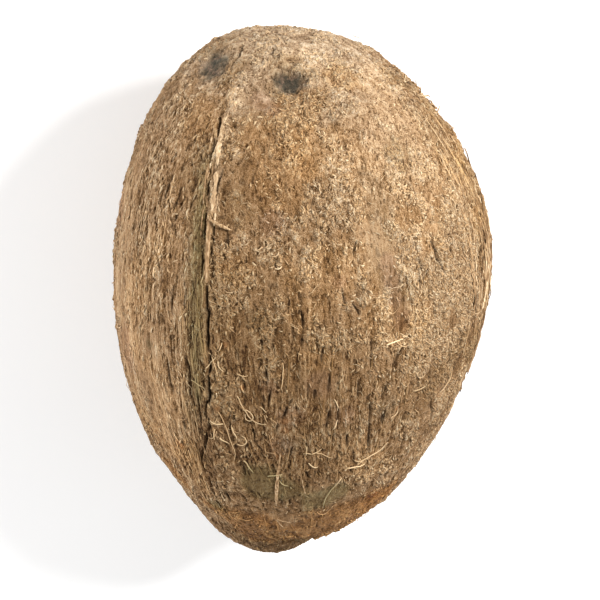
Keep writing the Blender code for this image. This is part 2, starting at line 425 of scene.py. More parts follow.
# The husk's surface. A size is that of one feature, and an edge is where its noise rises from 0 to 1. Sizes,
# heights and depths are in millimetres.
husk = {
    "levels": 8, "stretch": 1.25, "warp": 1.0, "sunk": 0.45,
    "sizes": {
        "crumbs": (1.6, 1.6, 2.2), "clusters": (7, 7, 11), "grit": (0.8, 0.8, 1.3), "knobs": (2.0, 2.0, 2.0),
        "grain": (0.85, 0.85, 9), "grooves": (2.8, 2.8, 44), "pits": (1.0, 1.0, 1.8), "dents": (22, 22, 30),
    },
    "edges": {"crumbs": (-0.02, 0.12), "grit": (-0.10, 0.14), "knobs": (-0.05, 0.2), "pits": (0.36, 0.62)},
    "heights": {"crumbs": 0.38, "grit": 0.16, "knobs": 0.30, "grain": 0.17, "grooves": 0.20, "pits": 0.30,
                "dents": 0.30, "socket": 1.0, "rim": 0.35, "strip": 0.5},
    # azimuth, polar and radius in millimetres
    "eyes": [(-78, 17.5, 6.0), (-5, 13.3, 4.5), (162, 17, 4.4)],
    # broad swells and hollows: azimuth, polar, reach and height
    "swells": [
        (-99, 47, 32, -2.4), (-90, 82, 34, -1.1), (88, 120, 28, -1.8), (95, 35, 26, -0.8),
        (-85, 163, 11, 2.3), (-14, 167, 6, -1.4), (-3, 169, 8, -1.2), (-53, 152, 9, -1.3),
        (-55, 161, 6, -0.8), (20, 162, 9, 0.7), (-97, 23, 6, -0.8), (100, 20, 6, -0.9), (-117, 12, 5, -0.5),
        (147, 9, 6, 0.7), (-70, 145, 9, -0.7), (-30, 172, 12, 1.1), (62, 169, 10, -2.3),
        (80, 142, 12, -0.9), (140, 24, 14, 1.1), (-120, 14, 9, 0.6),
    ],
    # soft ridges: azimuth, polar, length, lean, half width and height
    "ridges": [
        (0, 67, 27, -4, 1.1, 0.34), (8.5, 65, 31, -6, 1.0, 0.36), (-8, 80, 22, 0, 0.9, 0.28),
        (14, 84, 24, -4, 1.0, 0.3), (-14, 90, 22, 2, 0.9, 0.3), (20, 74, 18, -3, 0.9, 0.3),
        (-2.6, 99, 18, -22, 0.9, 0.3), (5, 104, 20, -6, 0.9, 0.3), (30, 84, 16, -14, 0.9, 0.3),
        (-20, 84, 20, 3, 0.8, 0.25), (28, 46, 20, 4, 1.4, 0.3), (34, 60, 18, 10, 0.9, 0.3),
        (-45, 62, 20, 0, 1.2, 0.3), (-56, 80, 24, 2, 1.4, 0.3), (-44, 95, 20, -2, 1.0, 0.3),
        (60, 84, 22, 4, 1.1, 0.3), (150, 60, 26, 3, 1.2, 0.4), (170, 85, 24, -4, 1.1, 0.4),
        (-160, 70, 26, 4, 1.2, 0.4), (120, 80, 24, 0, 1.2, 0.3),
    ],
    # where crumbs are heaped or missing, and where the husk is rubbed smooth: azimuth, polar and reach
    "heaped": [
        (96, 33, 8), (93, 44, 7), (100, 27, 6), (-10, 53, 5), (-22, 66, 5), (-16, 60, 3), (30, 78, 6),
        (65, 60, 8), (20, 8, 8), (8, 45, 6), (40, 88, 6), (50, 62, 7), (56, 72, 8), (44, 74, 6),
        (40, 54, 4), (52, 84, 7), (66, 68, 8), (64, 80, 8), (58, 96, 8), (54, 108, 7), (62, 56, 6),
        (38, 95, 5), (45, 45, 6), (40, 118, 7), (28, 118, 5),
    ],
    "bare": [
        (29.5, 46, 3), (29.5, 52, 3), (30, 58, 3), (31, 64, 2.8), (32.5, 70, 2.6), (33.5, 76, 2.4),
        (-24, 20, 4), (-15, 129, 6), (-6, 134, 6), (1, 125, 5), (8, 134, 5), (-77, 18, 4), (-5, 13, 3),
        (16, 60, 4), (-12, 96, 5), (8, 88, 6), (-2, 80, 4), (14, 100, 6), (0, 110, 5), (-14, 112, 5),
    ],
    "smoothed": [
        (-51, 87, 6), (-49, 105, 8), (-52, 116, 6), (27, 48, 5), (29, 57, 4), (31, 65, 3.5), (33, 73, 3),
        (-17, 129, 5), (-7, 133, 5), (10, 138, 5), (-12, 150, 8), (10, 150, 8), (-22, 23, 4), (6, 92, 5),
        (150, 55, 9), (-140, 80, 9), (-74, 62, 8), (-76, 78, 8), (-72, 94, 8), (-68, 108, 7), (-85, 50, 7),
        (-60, 100, 5), (-78, 44, 6),
    ],
}


def ridgeHeight(place):
    height = np.zeros(len(place))
    for azimuth, polar, length, lean, width, high in husk["ridges"]:
        close, rise, taper = alongLine(place, azimuth, polar, length, lean, width)
        height[close] = np.maximum(height[close], rise * high * taper)
    return height


def clustering(place, combed):
    # 1 where crumbs of husk are heaped, 0 where they are missing
    blend = noise(place, husk["sizes"]["clusters"], 41) * 0.7 + noise(place, (2.6, 2.6, 4), 42) * 0.5
    blend += nearAny(place, husk["heaped"]) * 0.45 - nearAny(place, husk["bare"]) * 0.5
    return smooth(blend, -0.05, 0.35) * (1 - 0.7 * combed)


def standing(name, place, seed):
    # 1 where the feature stands at its full height or depth, 0 between
    return smooth(noise(place, husk["sizes"][name], seed), *husk["edges"][name])


def streaking(name, place, seed):
    return np.clip(noise(place, husk["sizes"][name], seed) * 1.5, -1, 1)


def eyeSockets(place):
    # 1 in the middle of an eye and 0 outside it, and 1 on the rim round it
    socket, rim = np.zeros(len(place)), np.zeros(len(place))
    ragged = noise(place, (2.5, 2.5, 2.5), 9) * 0.7 + noise(place, (0.9, 0.9, 0.9), 13) * 0.7
    for azimuth, polar, radius in husk["eyes"]:
        away = np.linalg.norm(place - spot(azimuth, polar), axis=1) / radius + ragged * 0.35
        socket = np.maximum(socket, 1 - smooth(away, 0.2, 1.3))
        rim = np.maximum(rim, np.exp(-((away - 1.3) / 0.28) ** 2))
    return socket, rim


def relief(place, azimuth, polar):
    # how high the husk stands over its skin, in millimetres, and what its finish reads at each point
    high = husk["heights"]
    warp = np.stack([noise(place, (4, 4, 6), seed) for seed in (1, 2, 3)], 1) * husk["warp"]
    bent = place + warp
    stemEnd = smooth(polar, 34, 16)
    combed = combing(place, azimuth, polar)
    cluster = clustering(place, combed)
    crumbs = standing("crumbs", bent, 4) * (0.12 + 0.88 * cluster)
    knobs = standing("knobs", bent, 14) * stemEnd
    grit = standing("grit", bent, 7) * (0.45 + 0.55 * cluster)
    pits = standing("pits", bent, 8) * smooth(polar, 14, 30)
    grain = streaking("grain", place + warp * (0.3, 0.3, 1), 6)
    grooves = streaking("grooves", place + warp * 0.4, 12) * smooth(polar, 20, 45)
    socket, rim = eyeSockets(place)
    depth, inside = crackDepth(place + warp * 0.3)
    worn = np.clip(nearAny(place, husk["smoothed"]) * 1.2 + noise(place, (3, 3, 5), 43) * 0.3, 0, 1)
    calm = (1 - 0.35 * socket) * (1 - 0.55 * worn)
    texture = crumbs * high["crumbs"] + knobs * high["knobs"] + grit * high["grit"]
    texture += grain * high["grain"] * (0.35 + 0.65 * combed) - 0.15 - 0.1 * stemEnd
    dents = noise(place, husk["sizes"]["dents"], 10)
    height = dents * high["dents"] + grooves * high["grooves"] - husk["sunk"]
    height += nearAny(place, husk["swells"]) + seamStrip(place, azimuth, polar) * high["strip"]
    height += (texture - pits * high["pits"]) * calm - depth + ridgeHeight(place + warp * 0.5)
    height += rim * high["rim"] - socket * high["socket"]
    # tip: how high the texture stands, which makes raised husk paler and low husk darker in the finish,
    # partly painted shade
    tip = smooth(texture, -0.2, 0.22) * (1 - 0.75 * pits)
    # crack paints cracks and pits dark: painted shade in the hollows
    looks = {"tip": tip, "crack": np.clip(inside + pits * 0.35, 0, 1), "socket": socket, "groove": grooves,
             "cluster": cluster, "combed": combed, "worn": worn}
    return height, looks


def setAttributes(mesh, values, repeat=1):
    for name, numbers in values.items():
        attribute = mesh.attributes.new(name, "FLOAT", "POINT")
        attribute.data.foreach_set("value", np.repeat(numbers, repeat).astype(np.float32))


def addPiece(name, mesh, finish):
    piece = bpy.data.objects.new(name, mesh)
    bpy.context.scene.collection.objects.link(piece)
    mesh.shade_smooth()
    mesh.materials.append(finish)
    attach(piece, "root")
    return piece


def makeHusk(finish):
    # a finely divided cube, each side with its own part of the map, blown up onto the skin
    bpy.ops.mesh.primitive_cube_add(size=2)
    cage = bpy.context.object
    sides = cage.data.uv_layers[0]
    sides.name = "OFBake"
    corners = np.array(((0, 0), (1, 0), (1, 1), (0, 1)))
    for number, face in enumerate(cage.data.polygons):
        cell = np.array((number % 3, number // 3))
        for loop, corner in zip(face.loop_indices, corners):
            sides.data[loop].uv = (cell + 0.01 + corner * 0.98) / (3, 2)
    divide = cage.modifiers.new("divide", "SUBSURF")
    divide.levels = divide.render_levels = husk["levels"]
    divide.uv_smooth = "NONE"
    shape = bpy.data.meshes.new_from_object(cage.evaluated_get(bpy.context.evaluated_depsgraph_get()))
    bpy.data.objects.remove(cage)
    points = np.zeros(len(shape.vertices) * 3)
    shape.vertices.foreach_get("co", points)
    away = unit(unit(points.reshape(-1, 3)) * (1, 1, husk["stretch"])) @ nutAxes
    place = nutPlace(skinPoint(away))
    azimuth, polar = angles(away)
    height, looks = relief(place, azimuth, polar)
    points = skinPoint(away) + skinNormal(away) * height[:, None] / 1000
    points[:, 2] = np.maximum(points[:, 2], floorGap)
    shape.vertices.foreach_set("co", points.ravel())
    shape.update()
    setAttributes(shape, looks | regions(place, azimuth, polar))
    shape.name = "husk_body"
    piece = addPiece("husk_body", shape, finish)
    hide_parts("coconut")
    return piece


# A fibre isn't clear where it would lie in a crack or in an eye
fibreRoom = {"most": 0.45, "eyeExtra": 0.1}


# Fibres: each walks along the skin from its root, turning as it goes
def layFibres(azimuth, polar, heading, length, curl, lift, rings, evened=0, kinks=None):
    # angles in degrees, length in millimetres, curl is a pair of turns per millimetre for root and end,
    # lift is the height above the husk at each ring, one row for each fibre
    away = directions(azimuth, polar)
    down = unit(away * (away @ stem)[:, None] - stem)
    sideways = np.cross(down, away)
    turn = np.radians(heading)[:, None]
    ahead = down * np.cos(turn) - sideways * np.sin(turn)
    step = length / (rings - 1)
    path = [away]
    for ring in range(1, rings):
        share = (ring - 0.5) / (rings - 1)
        bend = (curl[0] * (1 - share) + curl[1] * share) * step
        if kinks is not None:
            bend = bend + kinks[:, ring]
        bend = np.radians(bend)[:, None]
        ahead = ahead * np.cos(bend) - np.cross(ahead, away) * np.sin(bend)
        away = unit(skinPoint(away) - middle + ahead * step[:, None] / 1000)
        ahead = unit(ahead - away * np.sum(ahead * away, axis=1, keepdims=True))
        path.append(away)
    path = np.stack(path, 1)
    flat = path.reshape(-1, 3)
    place = nutPlace(skinPoint(flat))
    height, looks = relief(place, *angles(flat))
    height = height.reshape(lift.shape)
    for _ in range(evened):
        height[:, 1:-1] = (height[:, :-2] + 2 * height[:, 1:-1] + height[:, 2:]) / 4
    normals = skinNormal(flat)
    points = skinPoint(flat) + normals * (height + lift).reshape(-1, 1) / 1000
    points[:, 2] = np.maximum(points[:, 2], floorGap * 2)
    hidden = np.maximum(looks["crack"], looks["socket"] + fibreRoom["eyeExtra"]).reshape(lift.shape).max(1)
    clear = hidden < fibreRoom["most"]
    return points.reshape(path.shape), normals.reshape(path.shape), clear


def fibreMesh(name, points, normals, width, thickness, sides):
    # closed tubes: width and thickness are half sizes in metres, one row for each fibre
    count, rings = points.shape[:2]
    ahead = unit(np.gradient(points, axis=1))
    across = unit(np.cross(ahead, normals))
    above = np.cross(across, ahead)
    turn = (np.arange(sides) + 0.25) * 2 * np.pi / sides
    corners = points[:, :, None] + across[:, :, None] * (np.cos(turn)[:, None] * width[:, :, None, None])
    corners = corners + above[:, :, None] * (np.sin(turn)[:, None] * thickness[:, :, None, None])
    index = np.arange(count * rings * sides).reshape(count, rings, sides)
    following = np.roll(index, -1, 2)
    walls = np.stack((index[:, :-1], following[:, :-1], following[:, 1:], index[:, 1:]), -1).reshape(-1, 4)
    ends = np.concatenate((index[:, 0, ::-1], index[:, -1]))
    mesh = bpy.data.meshes.new(name)
    mesh.vertices.add(corners.size // 3)
    mesh.vertices.foreach_set("co", corners.ravel())
    mesh.loops.add(walls.size + ends.size)
    mesh.loops.foreach_set("vertex_index", np.concatenate((walls.ravel(), ends.ravel())))
    starts = np.concatenate((np.arange(len(walls)) * 4, walls.size + np.arange(len(ends)) * sides))
    mesh.polygons.add(len(starts))
    mesh.polygons.foreach_set("loop_start", starts)
    mesh.update(calc_edges=True)
    mesh.validate()
    setFibreMap(mesh, count, rings, sides)
    return mesh


# Each fibre's cell of the map: its wall unrolled, with its two ends in the corners above it
fibreMap = {
    "wallFrom": 0.1, "wallSize": (0.8, 0.65),
    "endRadius": 0.06, "lowEnd": (0.2, 0.88), "highEnd": (0.6, 0.88),
}


def setFibreMap(mesh, count, rings, sides):
    cells = math.ceil(math.sqrt(count))
    origin = np.stack((np.arange(count) % cells, np.arange(count) // cells), -1)[:, None, None, None]
    ring, side = np.meshgrid(np.arange(rings - 1), np.arange(sides), indexing="ij")
    u = np.stack((side, side + 1, side + 1, side), -1) / sides
    v = np.stack((ring, ring, ring + 1, ring + 1), -1) / (rings - 1)
    wide, tall = fibreMap["wallSize"]
    walls = origin + fibreMap["wallFrom"] + np.stack((u * wide, v * tall), -1)
    turn = np.arange(sides) * 2 * np.pi / sides
    circle = np.stack((np.cos(turn), np.sin(turn)), -1) * fibreMap["endRadius"]
    low = origin[:, 0, 0] + fibreMap["lowEnd"] + circle[::-1]
    high = origin[:, 0, 0] + fibreMap["highEnd"] + circle
    spread = np.concatenate((walls.reshape(-1, 2), low.reshape(-1, 2), high.reshape(-1, 2))) / cells
    layer = mesh.uv_layers.new(name="OFBake")
    layer.data.foreach_set("uv", spread.ravel())


def fibreLooks(points, tone):
    # what the finish reads at each ring: the husk's regions, the tone and how far along the fibre it is
    count, rings = points.shape[:2]
    flat = points.reshape(-1, 3)
    azimuth, polar = angles(unit(flat - middle))
    looks = regions(nutPlace(flat), azimuth, polar)
    looks["tone"] = np.repeat(tone, rings)
    looks["along"] = np.tile(np.linspace(0, 1, rings), count)
    return looks


def addFibres(name, parts, sides, finish):
    points, normals, width, thickness, tone = parts
    mesh = fibreMesh(name, points, normals, width, thickness, sides)
    setAttributes(mesh, fibreLooks(points, tone), sides)
    return addPiece(name, mesh, finish)


# Crumbs and short curled fibres of the felt, in three pieces from the stem to the point. Lengths, half
# widths and lifts are in millimetres, spreads and turns in degrees.
felt = {
    "pieces": {"felt_stem_end": (0, 62), "felt_waist": (62, 96), "felt_point_end": (96, 180)},
    "count": 13000, "rings": 3, "least": 0.06, "wornAway": 0.8, "tone": (2.1, 2.3),
    "turn": 60, "mattedSpread": 55, "combedSpread": 11, "stemSpread": 60,
    "crumbs": 0.45, "crumbLength": (0.6, 1.4), "crumbWidth": (0.18, 0.33),
    "fibreLength": (0.7, 2.0), "fibreWidth": (0.07, 0.13), "taper": (0.7, 1, 0.5), "flatness": 0.7,
    "lift": (-0.04, 0.16), "root": -0.12,
}


def makeFelt(name, band, seed, finish):
    dice = np.random.default_rng(seed)
    count, rings = felt["count"] * 5, felt["rings"]
    low, high = np.cos(np.radians(band))
    polar = np.degrees(np.arccos(dice.uniform(high, low, count)))
    azimuth = dice.uniform(-180, 180, count)
    place = nutPlace(skinPoint(directions(azimuth, polar)))
    combed = combing(place, azimuth, polar)
    wanted = felt["least"] + (1 - felt["least"]) * clustering(place, combed) ** 2
    wanted *= 1 - felt["wornAway"] * np.clip(nearAny(place, husk["smoothed"]), 0, 1)
    kept = np.argsort(dice.random(count) / wanted)[:felt["count"]]
    azimuth, polar, combed, count = azimuth[kept], polar[kept], combed[kept], len(kept)
    spread = felt["mattedSpread"] * (1 - combed) + felt["combedSpread"] * combed
    spread = spread + felt["stemSpread"] * smooth(polar, 30, 12)
    heading = dice.normal(0, 1, count) * spread + 180 * dice.integers(0, 2, count)
    crumb = dice.random(count) < felt["crumbs"]
    sizes = []
    for measure in ("Length", "Width"):
        ofCrumb = dice.uniform(*felt["crumb" + measure], count)
        ofFibre = dice.uniform(*felt["fibre" + measure], count)
        sizes.append(np.where(crumb, ofCrumb, ofFibre))
    length, width = sizes[0] * (1 + 0.6 * combed), sizes[1]
    curl = dice.normal(0, felt["turn"], (2, count)) * (1 - 0.7 * combed) / length
    lift = dice.uniform(*felt["lift"], (count, rings))
    lift[:, 0] = felt["root"]
    points, normals, clear = layFibres(azimuth, polar, heading, length, curl, lift, rings)
    points, normals = points[clear], normals[clear]
    width = width[clear, None] / 1000 * np.array(felt["taper"])
    tone = dice.beta(*felt["tone"], len(points))
    return addFibres(name, (points, normals, width, width * felt["flatness"], tone), 3, finish)


# Loose pale strands: (azimuth, polar, heading, length, curl at the root, curl at the end)
strands = {
    "chosen": [
        (-27, 82.5, 34, 6.6, 0, 0), (-28, 87.5, 132, 4.4, 4, -6), (-24.5, 85, 30, 3.0, 0, 20),
        (-23, 79, -40, 2.4, -10, -30), (-5, 84, 30, 7.6, -22, 16), (-25.5, 102.5, 18, 17, 0.5, 1.5),
        (-19.8, 121, 40, 5, -4, -12), (-24.3, 107, -100, 3.8, 10, 10), (-27.5, 109, -22, 3.5, 0, 8),
        (-26.3, 112, 36, 3.2, 0, 0), (-22, 108, 30, 4, -10, 0), (-19, 96, 36, 12, -12, 22),
        (-17.7, 101, 120, 8, -34, -40), (-12.3, 99.5, 45, 2.4, 0, 0), (-21, 114.5, 55, 5.6, 34, 30),
        (-18.5, 88.5, 72, 2.7, -8, 0), (-17.6, 92, 16, 2.6, 0, 0), (11, 98, 40, 3.6, 0, 0),
        (12.6, 106.5, -20, 3.0, 0, 0), (1, 118.5, 100, 5.2, 0, -4), (2, 115, 2, 3.4, 0, 0),
        (5.5, 118.5, 76, 4.6, 0, 3), (3, 122.5, 50, 2.8, 0, 10), (17.5, 127, 92, 5.4, 0, 2),
        (21.5, 127.5, 140, 10.6, -2, -3), (28, 82, 106, 4.8, -3, -2), (40, 102, 108, 4.6, 0, -4),
        (32, 110, 112, 3.2, 0, 0), (-34, 93, 85, 5, -10, -10), (-36, 94, 35, 4, 0, 0),
        (-8, 54, 60, 2.4, 40, 40), (-11, 52, -60, 2.2, -30, 0), (-22, 64, 40, 2.5, 50, 0),
        (-7, 57, 90, 2, 0, 60), (16, 131, -40, 12, 0.8, 0.6), (-12, 127, 115, 4, 6, 0),
        (-8, 129, 50, 3, 0, 20), (60, 100, -25, 8, 3, -2),
    ],
    "chosenTone": (0.6, 1.0), "bolder": 1.8,
    "scattered": 200, "scatteredTone": (0.25, 0.85), "length": (2, 6), "curl": 24, "heading": 55,
    "rings": 12, "kink": 7, "width": (0.06, 0.11), "lift": 0.08, "arch": (0.1, 0.6), "end": (-0.15, 0.4),
}


def scatteredStrands(dice):
    count = strands["scattered"]
    azimuth = dice.uniform(-180, 180, count)
    polar = np.degrees(np.arccos(dice.uniform(-0.93, 0.6, count)))
    length = dice.uniform(*strands["length"], count) * dice.uniform(0.5, 1, count)
    curl = dice.normal(0, strands["curl"], (2, count))
    return np.stack((azimuth, polar, dice.normal(0, strands["heading"], count), length, *curl))


def makeStrands(finish):
    dice = np.random.default_rng(31)
    chosen = np.array(strands["chosen"], float).T
    azimuth, polar, heading, length, *curl = np.concatenate((chosen, scatteredStrands(dice)), 1)
    count, first, rings = len(azimuth), chosen.shape[1], strands["rings"]
    share = np.linspace(0, 1, rings)
    arch = np.sin(share * np.pi) * dice.uniform(*strands["arch"], (count, 1))
    lift = strands["lift"] + arch + share ** 2 * dice.uniform(*strands["end"], (count, 1))
    kinks = dice.normal(0, strands["kink"], (count, rings))
    points, normals, _ = layFibres(azimuth, polar, heading, length, curl, lift, rings, 2, kinks)
    width = dice.uniform(*strands["width"], (count, 1)) / 1000 * (1.05 - 0.6 * share ** 3)
    width[:first] *= strands["bolder"]
    chosenTone = dice.uniform(*strands["chosenTone"], first)
    tone = np.concatenate((chosenTone, dice.uniform(*strands["scatteredTone"], count - first)))
    return addFibres("loose_strands", (points, normals, width, width * 0.85, tone), 5, finish)


# Straws: (azimuth, polar, heading, length, curl, half width, half thickness, lift, tone). Short ragged
# slivers stand along the upper front seam, fewer lower down; their limits run from length to tone.
straws = {
    "chosen": [
        (-29.0, 47.3, 4, 16.5, 0, 0.98, 0.42, 0.36, 0.42), (-29.8, 37, 5, 11.5, 0, 0.58, 0.32, 0.14, 0.52),
        (-35.3, 25.8, 15, 12.5, 0, 0.85, 0.42, 0.16, 0.64), (-39, 27.5, 12, 8.5, 0, 0.3, 0.2, 0.06, 0.5),
        (-35, 36, 8, 10, 0, 0.24, 0.2, 0.06, 0.5), (-32.8, 45, 6, 8, 0, 0.2, 0.16, 0.06, 0.4),
        (-29.4, 47.5, 77, 6.4, 0.4, 0.52, 0.46, 1.5, 0.5), (-28.0, 51, 75, 2.0, 0, 0.3, 0.25, 0.5, 0.15),
        (83, 75, -30, 12.5, 0, 0.5, 0.25, 0.35, 0.85), (79, 58, 2, 22, 0, 0.3, 0.16, 0.15, 0.4),
        (-6.5, 117, -10, 21, 0.3, 0.48, 0.36, 0.40, 0.52), (0.5, 129, 6, 6, 0.5, 0.25, 0.16, 0.2, 0.5),
        (-12.0, 146, 5, 5, 4, 0.18, 0.13, 0.2, 0.7), (129, 17.5, 60, 4, 20, 0.16, 0.14, 1.6, 0.5),
        (98, 26, 12, 5.5, 0, 0.34, 0.26, 1.5, 0.2), (100, 33, 20, 4, 0, 0.3, 0.22, 0.9, 0.4),
    ],
    "rings": 16, "root": -0.1, "uneven": 0.05, "body": (0.5, 1.15),
    "slivers": 60, "sliverPolars": (20, 54), "sliverAside": (-0.9, 1.3), "sliverHeading": (4, 6),
    "sliverLimits": ((1.5, 4.5), (-2, 2), (0.12, 0.34), (0.10, 0.2), (0, 0.2), (0.2, 0.9)),
}


def sliverTable(dice):
    count = straws["slivers"]
    upper, lower = straws["sliverPolars"]
    polar = upper + (lower - upper) * dice.random(count) ** 0.8
    azimuth = seamAzimuth(polar) + dice.normal(*straws["sliverAside"], count)
    drawn = [dice.uniform(*limits, count) for limits in straws["sliverLimits"]]
    return np.stack((azimuth, polar, dice.normal(*straws["sliverHeading"], count), *drawn))


def makeStraws(finish):
    dice = np.random.default_rng(3)
    table = np.concatenate((np.array(straws["chosen"], float).T, sliverTable(dice)), 1)
    azimuth, polar, heading, length, curl, width, thickness, lift, tone = table
    count, rings = len(azimuth), straws["rings"]
    along = np.sin(np.linspace(0, 1, rings) * np.pi)
    height = lift[:, None] * along ** 0.35 + straws["root"]
    height += dice.normal(0, straws["uneven"], (count, rings))
    points, normals, clear = layFibres(azimuth, polar, heading, length, (curl, curl), height, rings, 2)
    clear[:len(straws["chosen"])] = True
    body = np.clip(along ** 0.4, 0.3, 1) * dice.uniform(*straws["body"], (count, rings))
    width, thickness = width[:, None] * body / 1000, thickness[:, None] * body / 1000
    parts = [part[clear] for part in (points, normals, width, thickness, tone)]
    return addFibres("seam_straws", parts, 8, finish)


# Ragged flat flakes of husk left along the side and back seams. A band is its azimuth and spread, the count,
# the limits of polar, length and half width, how far the free ends rise, and how far the flakes lean.
flakes = {
    "bands": [
        (88, 7, 66, (52, 125), (5, 18), (0.14, 0.48), 0.25, 4),
        (-126, 7, 60, (44, 125), (5, 20), (0.14, 0.5), 0.25, 4),
        (101, 7, 64, (25, 52), (1.5, 4.0), (0.16, 0.36), 0.45, 30),
    ],
    "rings": 10, "curl": 0.8, "lift": 0.05, "arch": 0.15,
    "flatness": 0.3, "thinnest": 0.08, "tone": (0.1, 0.7),
}


def flakeTable(dice):
    rows = []
    for centre, spread, count, polars, lengths, widths, rise, lean in flakes["bands"]:
        drawn = [dice.uniform(*limits, count) for limits in (polars, lengths, widths)]
        heading = dice.normal(0, lean, count) + 180 * dice.integers(0, 2, count)
        azimuth = dice.normal(centre, spread, count)
        rows.append(np.stack((azimuth, *drawn, dice.exponential(rise, count), heading)))
    return np.concatenate(rows, 1)


def makeFlakes(finish):
    dice = np.random.default_rng(17)
    azimuth, polar, length, width, rise, heading = flakeTable(dice)
    count, rings = len(azimuth), flakes["rings"]
    curl = dice.normal(0, flakes["curl"], (2, count))
    share = np.linspace(0, 1, rings)
    along = np.sin(share * np.pi)
    lift = flakes["lift"] + flakes["arch"] * along + rise[:, None] * smooth(share, 0.5, 1)
    points, normals, _ = layFibres(azimuth, polar, heading, length, curl, lift, rings)
    width = width[:, None] / 1000 * (0.35 + 0.65 * along ** 0.5)
    thickness = width * flakes["flatness"] + flakes["thinnest"] / 1000
    tone = dice.uniform(*flakes["tone"], count)
    return addFibres("seam_flakes", (points, normals, width, thickness, tone), 6, finish)


# Flat strips of fibre combed along the nut and sunk into the husk. A band is its count, the limits of
# azimuth, polar, half width and tone, and whether it bends with the front seam.
strips = {
    "bands": [
        (90, (-38, -28.5), (56, 138), (0.12, 0.3), (0.1, 0.7), True),
        (60, (-25, 48), (76, 150), (0.12, 0.30), (0.05, 0.4), False),
        (50, (62, 98), (30, 105), (0.14, 0.4), (0.3, 0.8), False),
        (60, (-150, -100), (30, 130), (0.12, 0.4), (0.2, 0.7), False),
        (90, (100, 210), (40, 140), (0.12, 0.45), (0.1, 0.6), False),
        (30, (-80, -42), (40, 130), (0.12, 0.3), (0.3, 0.6), False),
    ],
    "rings": 14, "length": (6, 22), "heading": 3.5, "curl": 0.6, "lift": (-0.10, 0.04), "uneven": 0.03,
    "ends": -0.2, "flatness": 0.28, "thinnest": 0.06, "body": (0.75, 1.1),
}


def stripTable(dice):
    rows = []
    for count, azimuths, polars, widths, tones, bending in strips["bands"]:
        polar = dice.uniform(*polars, count)
        bend = seamAzimuth(polar) - seamLine["azimuth"] if bending else 0
        drawn = [dice.uniform(*limits, count) for limits in (azimuths, strips["length"], widths, tones)]
        heading = dice.normal(0, strips["heading"], count)
        rows.append(np.stack((drawn[0] + bend, polar, heading, *drawn[1:])))
    return np.concatenate(rows, 1)


def makeStrips(finish):
    dice = np.random.default_rng(23)
    azimuth, polar, heading, length, width, tone = stripTable(dice)
    count, rings = len(azimuth), strips["rings"]
    curl = dice.normal(0, strips["curl"], (2, count))
    share = np.linspace(0, 1, rings)
    lift = dice.uniform(*strips["lift"], (count, 1)) + dice.normal(0, strips["uneven"], (count, rings))
    lift[:, 0] = lift[:, -1] = strips["ends"]
    points, normals, clear = layFibres(azimuth, polar, heading, length, curl, lift, rings, 5)
    body = (0.3 + 0.7 * np.sin(share * np.pi) ** 0.5) * dice.uniform(*strips["body"], (count, rings))
    width = width[:, None] / 1000 * body
    thickness = width * strips["flatness"] + strips["thinnest"] / 1000
    parts = [part[clear] for part in (points, normals, width, thickness, tone)]
    return addFibres("combed_strips", parts, 6, finish)


def colour(shade):
    # red, green and blue screen values from 0 to 255, as light
    light = [((v / 255 + 0.055) / 1.055) ** 2.4 if v > 10 else v / 255 / 12.92 for v in shade]
    return (*light, 1.0)


# A socket that reads like a number: maths on it adds the nodes
class Wire:
    def __init__(self, finish, socket):
        self.finish = finish
        self.socket = socket

    def maths(self, operation, first, second):
        return self.finish.node("ShaderNodeMath", {"operation": operation}, {0: first, 1: second})

    def __add__(self, other):
        return self.maths("ADD", self, other)

    def __sub__(self, other):
        return self.maths("SUBTRACT", self, other)

    def __rsub__(self, other):
        return self.maths("SUBTRACT", other, self)

    def __mul__(self, other):
        return self.maths("MULTIPLY", self, other)


class Finish:
    def __init__(self, name):
        self.material = bpy.data.materials.new(name)
        self.material.use_nodes = True
        self.tree = self.material.node_tree
        self.shader = self.tree.nodes["Principled BSDF"]

    def node(self, kind, settings=None, sockets=None, output=0):
        made = self.tree.nodes.new(kind)
        for name, value in (settings or {}).items():
            if name == "stops":
                self.setStops(made.color_ramp.elements, value)
            else:
                setattr(made, name, value)
        for name, value in (sockets or {}).items():
            self.feed(made.inputs[name], value)
        return Wire(self, made.outputs[output])

    def setStops(self, elements, stops):
        while len(elements) < len(stops):
            elements.new(1.0)
        for element, (position, shade) in zip(elements, stops):
            element.position = position
            element.color = colour(shade)

    def feed(self, socket, value):
        if isinstance(value, Wire):
            self.tree.links.new(value.socket, socket)
        else:
            socket.default_value = value

    def attribute(self, name):
        return self.node("ShaderNodeAttribute", {"attribute_name": name}, output="Fac")

    def noise(self, scale, detail, roughness, alongNut=1.0, distortion=0.0):
        where = self.node("ShaderNodeTexCoord", output="Object")
        where = self.node("ShaderNodeVectorMath", {"operation": "MULTIPLY"}, {0: where, 1: (alongNut, 1, 1)})
        return self.node("ShaderNodeTexNoise", {}, {"Vector": where, "Scale": scale, "Detail": detail,
                                                    "Roughness": roughness, "Distortion": distortion})

    def ramp(self, value, stops):
        # stops are pairs of a position and a shade
        return self.node("ShaderNodeValToRGB", {"stops": stops}, {0: value})

    def edge(self, value, low, high):
        # 0 below low, 1 above high
        return self.ramp(value, [(low, (0, 0, 0)), (high, (255, 255, 255))])

    def mix(self, share, first, second, blend="MIX"):
        settings = {"data_type": "RGBA", "blend_type": blend}
        return self.node("ShaderNodeMix", settings, {0: share, 6: first, 7: second}, 2)

    def bump(self, height, strength, distance):
        sockets = {"Height": height, "Strength": strength, "Distance": distance}
        return self.node("ShaderNodeBump", {}, sockets)

    def dull(self, base, normal, roughness, gloss):
        self.feed(self.shader.inputs["Base Color"], base)
        if normal is not None:
            self.feed(self.shader.inputs["Normal"], normal)
        self.shader.inputs["Roughness"].default_value = roughness
        self.shader.inputs["Specular IOR Level"].default_value = gloss


